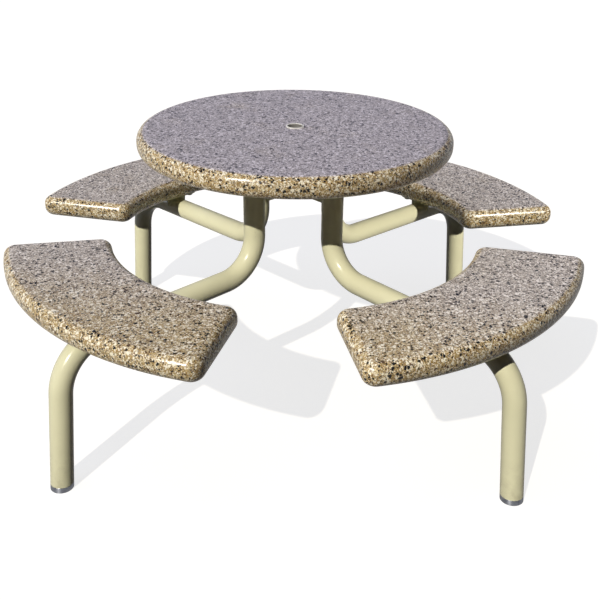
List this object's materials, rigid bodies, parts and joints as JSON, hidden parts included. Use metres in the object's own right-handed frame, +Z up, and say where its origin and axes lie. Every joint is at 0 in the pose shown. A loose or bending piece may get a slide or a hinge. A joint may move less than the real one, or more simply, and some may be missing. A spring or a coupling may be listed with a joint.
{
  "type": "concrete table with seats",
  "caption": "Round terrazzo concrete table with curved concrete seats, carried by bent steel tubes, with a sleeved umbrella hole at its centre.",
  "frame": {"origin": "on the floor, on the table's axis", "axes": "+Z up along the table's axis; the picture's front is -Y"},
  "size_m": [1.5002, 1.5002, 0.764],
  "materials": {
    "terrazzo": "polished exposed aggregate, sealed",
    "coated_steel": "cream powder coat, semi-gloss",
    "bare_steel": "bare, turned",
    "zinc_steel": "zinc plated",
    "bar_steel": "plain reinforcing bar",
    "white_plastic": "moulded, satin"
  },
  "bodies": {
    "root": {"table_top": "terrazzo", "table_rebar": "bar_steel", "table_inserts": "zinc_steel", "umbrella_sleeve": "white_plastic", "umbrella_ring": "coated_steel", "seat_inserts": "zinc_steel", "table_washers": "zinc_steel", "seat_washers": "zinc_steel", "table_bolts": "zinc_steel", "seat_bolts": "zinc_steel", "leg_tube_rear_right": "coated_steel", "leg_tube_rear_left": "coated_steel", "leg_tube_front_left": "coated_steel", "leg_tube_front_right": "coated_steel", "foot_cap_rear_right": "bare_steel", "foot_cap_rear_left": "bare_steel", "foot_cap_front_left": "bare_steel", "foot_cap_front_right": "bare_steel", "table_plate_rear_right": "coated_steel", "table_plate_rear_left": "coated_steel", "table_plate_front_left": "coated_steel", "table_plate_front_right": "coated_steel", "brace_bar_rear_right": "coated_steel", "brace_bar_rear_left": "coated_steel", "brace_bar_front_left": "coated_steel", "brace_bar_front_right": "coated_steel", "seat_plate_rear_right": "coated_steel", "seat_plate_rear_left": "coated_steel", "seat_plate_front_left": "coated_steel", "seat_plate_front_right": "coated_steel", "inner_saddle_rear_right": "coated_steel", "inner_saddle_rear_left": "coated_steel", "inner_saddle_front_left": "coated_steel", "inner_saddle_front_right": "coated_steel", "outer_saddle_rear_right": "coated_steel", "outer_saddle_rear_left": "coated_steel", "outer_saddle_front_left": "coated_steel", "outer_saddle_front_right": "coated_steel", "seat_rear_right": "terrazzo", "seat_rear_left": "terrazzo", "seat_front_left": "terrazzo", "seat_front_right": "terrazzo", "seat_rebar_rear_right": "bar_steel", "seat_rebar_rear_left": "bar_steel", "seat_rebar_front_left": "bar_steel", "seat_rebar_front_right": "bar_steel"}
  },
  "joints": []
}
